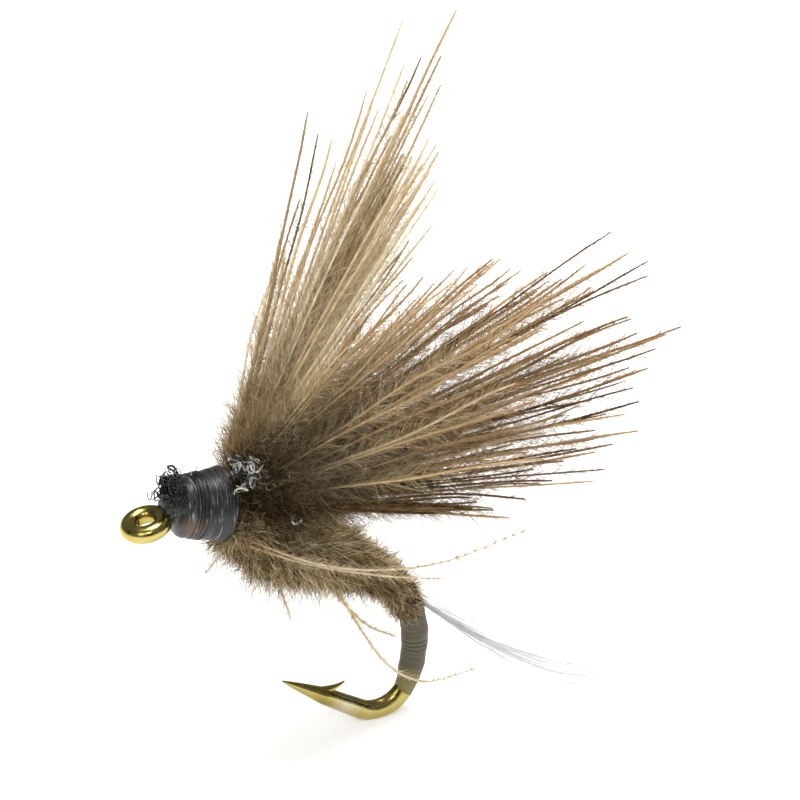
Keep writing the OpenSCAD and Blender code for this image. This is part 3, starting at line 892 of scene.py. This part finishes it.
def far_wing(name, low, high, count, tones, seed, replaced, slot, strays=0):
    rng = np.random.default_rng(seed)
    a = clumped(rng, rng.uniform(low, high, count), 0.7)
    # most barbs stand close together, and a few lean back
    q = (np.arange(count) * GOLDEN) % 1
    b = clumped(rng, np.interp(q, [0, 0.06, 0.82, 1], [6.5, 3.2, -10, -22]), 1.0)
    length = far_reach(b) * rng.uniform(0.76, 1.0, count)
    tone = np.clip(rng.normal(tones[0], tones[1], count), 0, 1)
    extra = stray_barbs(rng, strays, low, high, lambda a, b: far_reach(b))
    bundle = [np.append(own, more) for own, more in zip((a, b, length, tone), extra)]
    wing_piece(name, np.ones(3), *bundle, far_mat, rng, replaced, slot, "right_wing",
               (0.040, 0.058), 21.0)


near_wing("near_wing_lowest", -18, -9, 17, (0.28, 0.13), 31, "left_wing_dark_barbs", "dark_barbs", 3)
near_wing("near_wing_lower", -9, 0, 22, (0.40, 0.17), 32, "left_wing_dark_barbs", "dark_barbs", 3)
near_wing("near_wing_upper", 0, 8, 22, (0.58, 0.17), 33, "left_wing_tan_barbs", "tan_barbs", 3)
near_wing("near_wing_highest", 8, 17, 20, (0.68, 0.15), 34, "left_wing_tan_barbs", "tan_barbs", 5)
# short barbs that fill the gap between the wings near their roots
near_wing("near_wing_short", 17, 30, 30, (0.72, 0.12), 40, "left_wing_tan_barbs", "tan_barbs")
far_wing("far_wing_lowest", -18, -7, 13, (0.66, 0.19), 35, "right_wing_tan_barbs", "tan_barbs")
far_wing("far_wing_lower", -7, 0, 15, (0.70, 0.19), 36, "right_wing_tan_barbs", "tan_barbs", 2)
far_wing("far_wing_upper", 0, 9, 16, (0.76, 0.18), 37, "right_wing_pale_barbs", "pale_barbs", 4)
far_wing("far_wing_highest", 9, 20, 15, (0.78, 0.18), 38, "right_wing_pale_barbs", "pale_barbs", 3)

# pale crinkled fluff along the top of the near wing's root
rng = np.random.default_rng(39)
count, steps = 700, 9
k = rng.random(count)
fan_edge = math.radians(32)
edge = WING_DIR * math.cos(fan_edge) + WING_UP * math.sin(fan_edge)
root = (MIRROR * (WING_ROOT + edge * (1.1 + 4 * k[:, None]))
        + rng.normal(0, 1, (count, 3)) * (0.10 + 0.14 * k[:, None]))
grow = unit(MIRROR * WING_DIR * 0.7 + rng.normal(0, 0.75, (count, 3)))
t = np.linspace(0, 1, steps)[None, :, None]
paths = (root[:, None] + grow[:, None] * t * rng.uniform(0.3, 0.95, (count, 1, 1))
         + wander(rng, count, steps, 0.11))
soup = Soup()
tubes(soup, paths, rng.uniform(0.007, 0.015, (count, 1)) * np.linspace(1, 0.4, steps),
      rng.uniform(0.68, 1.0, count), sides=3, along=np.full((1, steps), 0.6))
own_wing(soup.build("near_wing_root_fluff", near_mat), "left_wing_tan_barbs")

# ---------------------------------------------------------------- legs
leg_mat = fibre_material("leg_feather", PALE_FEATHER, root_dark=0.75, translucent=0.35,
                         shade=(0.0, 0.3))


def leg_path(root, run, splay, rise, curl):
    """It leaves the fur to its side, runs back, and its tip curls up."""
    return [(root[0] + run * t, root[1] + splay * math.sqrt(t),
             root[2] + rise * t + curl * t ** 3) for t in (0, 0.25, 0.5, 0.75, 1)]


LEG_R = 0.041
LEG_HAIRS = 60  # to each mm of leg
# root, run back, splay to the side, rise and curl, as in the CAD source
LEGS = {
    "leg_long_upper": ((2.75, -0.7, 0.8), 8, -2.5, 1, 3),
    "leg_long_lower": ((2.8, -0.7, 0.6), 6.5, -1.7, 1, 0.5),
    "leg_right_side": ((2.8, 0.7, 0.75), 6, 2, 1.5, 1),
    "leg_trailing_left": ((7, -0.55, 0.25), 5, -2, -4, 3.5),
    "leg_trailing_right": ((7.1, 0.35, 0.25), 4.5, 1, -2.5, 1),
    "leg_short_belly": ((4.9, -0.45, -0.15), 1, -0.5, -1, 0),
    "leg_short_throat": ((2.8, -0.3, 0.45), -0.3, -0.2, -1.2, 0),
}
for number, (name, shape) in enumerate(LEGS.items()):
    rng = np.random.default_rng(60 + number)
    path = smooth_path(leg_path(*shape), 40)[None]
    size = np.linalg.norm(np.diff(path[0], axis=0), axis=1).sum()
    soup = Soup()
    tubes(soup, path, LEG_R * np.interp(np.linspace(0, 1, 40), [0, 0.7, 1], [1, 0.8, 0.35])[None],
          np.array([0.95]), sides=6)
    m = int(size * LEG_HAIRS)
    at = rng.random(m) * 0.97
    i = (at * 39).astype(int)
    tan = unit(path[0, i + 1] - path[0, i])
    out = rng.normal(0, 1, (m, 3))
    out = unit(out - tan * np.sum(out * tan, -1, keepdims=True))
    u = np.linspace(0, 1, 3)[None, :, None]
    hl = rng.uniform(0.12, 0.42, m)[:, None, None]
    hair = path[0, i][:, None] + unit(tan + out * 0.7)[:, None] * u * hl
    tubes(soup, hair, 0.0065 * np.array([[1, 0.8, 0.3]]) * np.ones((m, 1)),
          np.full(m, 0.85), sides=3, along=at[:, None] * np.ones((1, 3)))
    leg = soup.build(name + "_barb", leg_mat)
    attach(leg, "tied_hook")
    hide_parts(name)

# ---------------------------------------------------------------- trimmed butts and tag
butt_mat = fibre_material("trimmed_butts",
                          [(0.0, (0.004, 0.004, 0.005)), (0.34, (0.018, 0.018, 0.018)),
                           (0.5, (0.36, 0.355, 0.32)), (0.75, (0.84, 0.82, 0.74)),
                           (1.0, (0.97, 0.96, 0.90))],
                          root_dark=0.9, translucent=0.30, rough=0.2, spec=0.8, speckle=0.4,
                          warm=0.0)


def curly(name, count, centre, spread, lean, length, loop, turns, thick, tones, seed, replaced,
          lint=None):
    """Short curled fibre ends; tones gives the mean, the spread and the rise with x."""
    rng = np.random.default_rng(seed)
    steps = 26
    t = np.linspace(0, 1, steps)[None, :, None]
    off = rng.normal(0, 1, (count, 3))
    root = np.asarray(centre) + off * np.asarray(spread)
    d = unit(np.asarray(lean) + rng.normal(0, 0.45, (count, 3)))
    e1 = unit(np.cross(d, rng.normal(0, 1, (count, 3))))
    e2 = np.cross(d, e1)
    size = length * rng.uniform(0.4, 1.0, (count, 1, 1))
    ang = rng.uniform(*turns, (count, 1, 1)) * 2 * np.pi * t + rng.uniform(
        0, 2 * np.pi, (count, 1, 1))
    r = loop * rng.uniform(0.5, 1.2, (count, 1, 1)) * np.minimum(1, t * 2.5)
    paths = (root[:, None] + d[:, None] * t * size
             + e1[:, None] * (r * np.cos(ang)) + e2[:, None] * (r * np.sin(ang))
             + wander(rng, count, steps, 0.08))
    radii = thick * rng.uniform(0.5, 1.2, (count, 1)) * np.interp(
        np.linspace(0, 1, steps), [0, 0.85, 1], [1, 0.85, 0.4])
    tone = np.clip(rng.normal(tones[0], tones[1], count) + tones[2] * off[:, 0], 0, 1)
    soup = Soup()
    tubes(soup, paths, radii, tone, sides=6)
    if lint is not None:  # one loose curl on the fur
        tubes(soup, smooth_path(lint, 40)[None], np.full((1, 40), 0.036), np.array([0.86]), sides=7)
    own_body(soup.build(name, butt_mat), replaced)


# most curls are pale, paler towards the rear: partly the fibres' own silver, partly painted light
# standing in for the light and highlights the curls catch
curly("rear_trimmed_curls", 290, (2.27, -0.74, 2.86), (0.48, 0.22, 0.19), (0.30, -0.40, 0.40), 0.48,
      0.135, (0.7, 1.9), 0.027, (0.84, 0.34, 0.34), 71, "rear_wing_butts",
      [(3.42, -1.92, 2.42), (3.34, -1.98, 2.30), (3.38, -2.00, 2.16), (3.52, -1.98, 2.10),
       (3.66, -1.96, 2.18), (3.70, -1.96, 2.32)])
curly("front_trimmed_frizz", 130, (0.13, -0.18, 1.38), (0.17, 0.26, 0.20), (-0.85, -0.2, 0.22), 0.52,
      0.13, (0.6, 1.6), 0.024, (0.05, 0.12, 0.0), 72, "front_trimmed_butts")

soup = Soup()
# the cut end of the tying thread, and a fine strand split from it
tag = smooth_path([(.76, 0, 1.85), (.72, .02, 2.15), (.6, 0, 2.45)], 14)[None]
tubes(soup, tag, np.linspace(0.022, 0.008, 14)[None], np.array([0.1]), sides=6)
tag2 = smooth_path([(.74, .03, 1.85), (.60, .06, 2.05), (.52, .08, 2.18)], 10)[None]
tubes(soup, tag2, np.linspace(0.02, 0.008, 10)[None], np.array([0.7]), sides=6)
tag_piece = soup.build("thread_tag_end", butt_mat)
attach(tag_piece, "tied_hook")
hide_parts("thread_tag")

# ---------------------------------------------------------------- tail
tail_mat = fibre_material("white_tail_fibre",
                          [(0.0, (0.79, 0.80, 0.815)), (1.0, (0.94, 0.945, 0.95))],
                          root_dark=0.85, translucent=0.5, rough=0.4, shade=(0.0, 0.5),
                          speckle=0.08, tip=(0.92, 0.93, 0.94), warm=0.0)


def tail_path(root, run, splay, dip, lift):
    """It runs back, sinks a little, and its tip lifts."""
    return [(root[0] + run * t, root[1] + splay * t,
             root[2] + lift * t ** 3 - dip * math.sin(math.pi * t))
            for t in (0, 0.2, 0.4, 0.6, 0.8, 1)]


TAIL_FIBRE_R = 0.0115
TAIL = tail_path((10.66, 0, 0.52), 8.5, -3.2, 0.5, 1.5)
UPPER = tail_path((10.6, 0.16, 0.7), 4.7, -1, 0.2, 0.3)
for name, points, count, wide, reach_to, replaced in (
        ("tail_fibres", TAIL, 46, 0.30, (0.72, 1.0), "tail_bundle"),
        ("tail_fibres_upper", UPPER, 5, 0.10, (0.7, 1.0), "tail_upper_fibre")):
    rng = np.random.default_rng(len(name))
    soup = Soup()
    for k in range(count):
        end = rng.uniform(*reach_to) if k > 5 else 1.0
        path = smooth_path(points, 60)[:int(60 * end)]
        t = np.linspace(0, 1, len(path))[:, None]
        apart = rng.normal(0, 1, 3) * wide
        shift = rng.normal(0, 1, 3) * 0.04
        path = path + apart * np.sin(t * 2.0) * t ** 0.35 + shift
        tubes(soup, path[None],
              TAIL_FIBRE_R * np.interp(t[:, 0], [0, 0.6, 1], [1, 0.9, 0.45])[None],
              np.array([rng.random()]), sides=5)
    piece = soup.build(name, tail_mat)
    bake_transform(piece)
    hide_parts(replaced)
